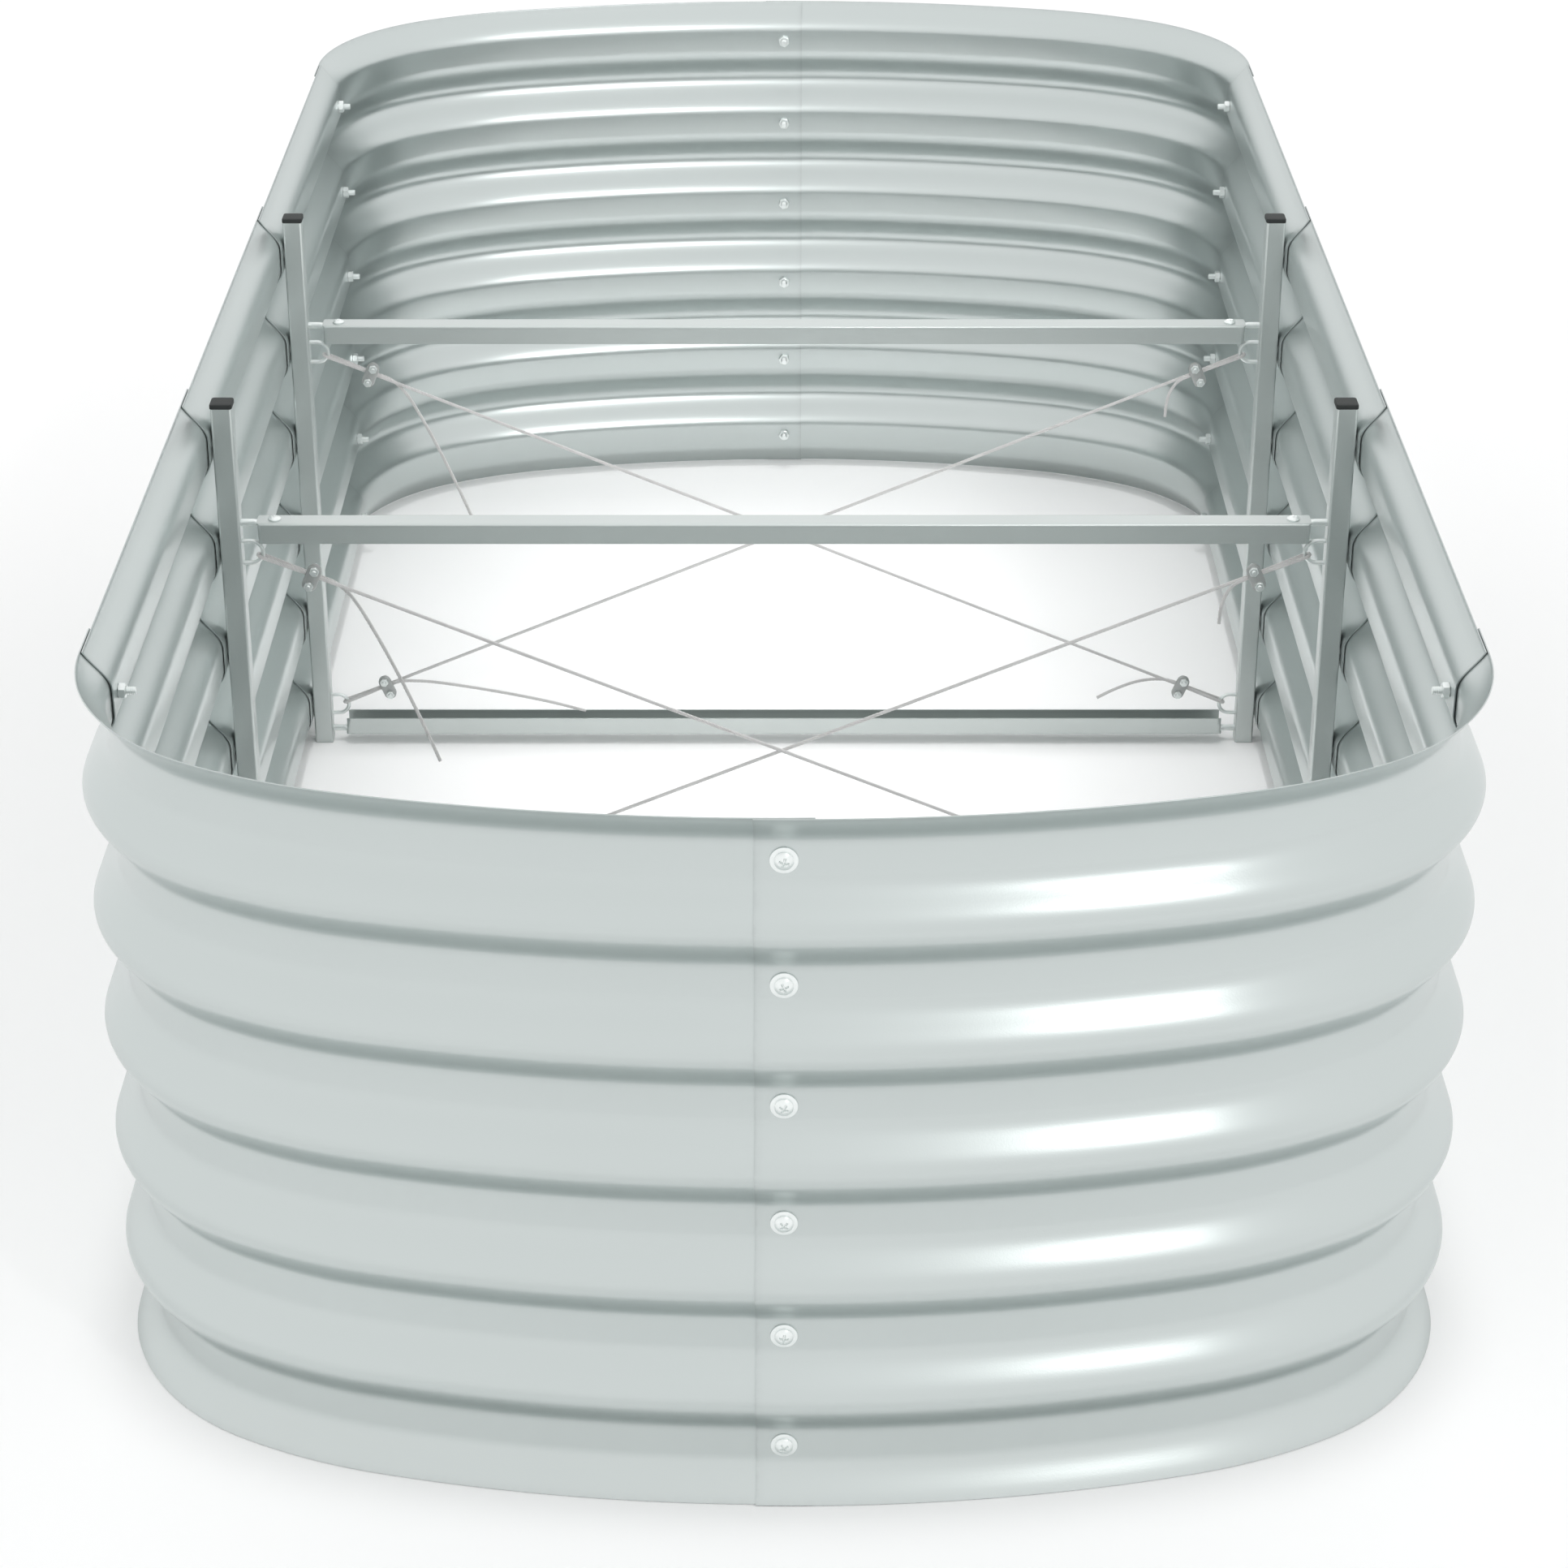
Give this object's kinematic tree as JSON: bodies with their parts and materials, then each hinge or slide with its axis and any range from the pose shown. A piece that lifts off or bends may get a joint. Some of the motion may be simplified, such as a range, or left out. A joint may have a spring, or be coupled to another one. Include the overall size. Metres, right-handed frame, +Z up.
{
  "type": "raised garden bed",
  "caption": "Long oval raised garden bed of corrugated steel wall panels bolted together, open above and below, with posts, cross bars and crossed wire ropes inside.",
  "frame": {"origin": "on the ground at the middle of the bed", "axes": "+X across the bed to the right, +Y along the bed from its near end to its far end, +Z up"},
  "size_m": [1.23, 2.44, 0.68],
  "materials": {
    "wall_coat": "satin pale grey coat on corrugated galvanised steel",
    "tube_coat": "satin pale grey coat on steel tube and channel",
    "black_plastic": "fine matt black",
    "rope_steel": "stranded galvanised wire, dull",
    "zinc_plate": "bright zinc plate"
  },
  "bodies": {
    "root": {"corner_panel_near_left": "wall_coat", "corner_panel_near_right": "wall_coat", "corner_panel_far_left": "wall_coat", "corner_panel_far_right": "wall_coat", "side_panel_near_left": "wall_coat", "side_panel_near_right": "wall_coat", "side_panel_middle_left": "wall_coat", "side_panel_middle_right": "wall_coat", "side_panel_far_left": "wall_coat", "side_panel_far_right": "wall_coat", "post_near_left": "tube_coat", "post_near_right": "tube_coat", "post_far_left": "tube_coat", "post_far_right": "tube_coat", "upper_cross_bar_near": "tube_coat", "upper_cross_bar_far": "tube_coat", "lower_cross_bar_near": "tube_coat", "lower_cross_bar_far": "tube_coat", "post_cap_near_left": "black_plastic", "post_cap_near_right": "black_plastic", "post_cap_far_left": "black_plastic", "post_cap_far_right": "black_plastic", "wire_rope_near_falling": "rope_steel", "wire_rope_near_rising": "rope_steel", "wire_rope_far_falling": "rope_steel", "wire_rope_far_rising": "rope_steel", "rope_tail_near_upper_left": "rope_steel", "rope_tail_near_upper_right": "rope_steel", "rope_tail_near_lower_left": "rope_steel", "rope_tail_near_lower_right": "rope_steel", "rope_tail_far_upper_left": "rope_steel", "rope_tail_far_upper_right": "rope_steel", "rope_tail_far_lower_left": "rope_steel", "rope_tail_far_lower_right": "rope_steel", "seam_bolts": "zinc_plate", "seam_washers": "zinc_plate", "seam_nuts": "zinc_plate", "post_bolts": "zinc_plate", "post_washers": "zinc_plate", "rivet_nuts": "zinc_plate", "bar_studs": "zinc_plate", "stud_nuts": "zinc_plate", "bar_screws": "zinc_plate", "bar_screw_nuts": "zinc_plate", "eye_loops": "zinc_plate", "eye_nuts": "zinc_plate", "clip_saddles": "zinc_plate", "clip_u_bolts": "zinc_plate", "clip_nuts": "zinc_plate"}
  },
  "joints": []
}
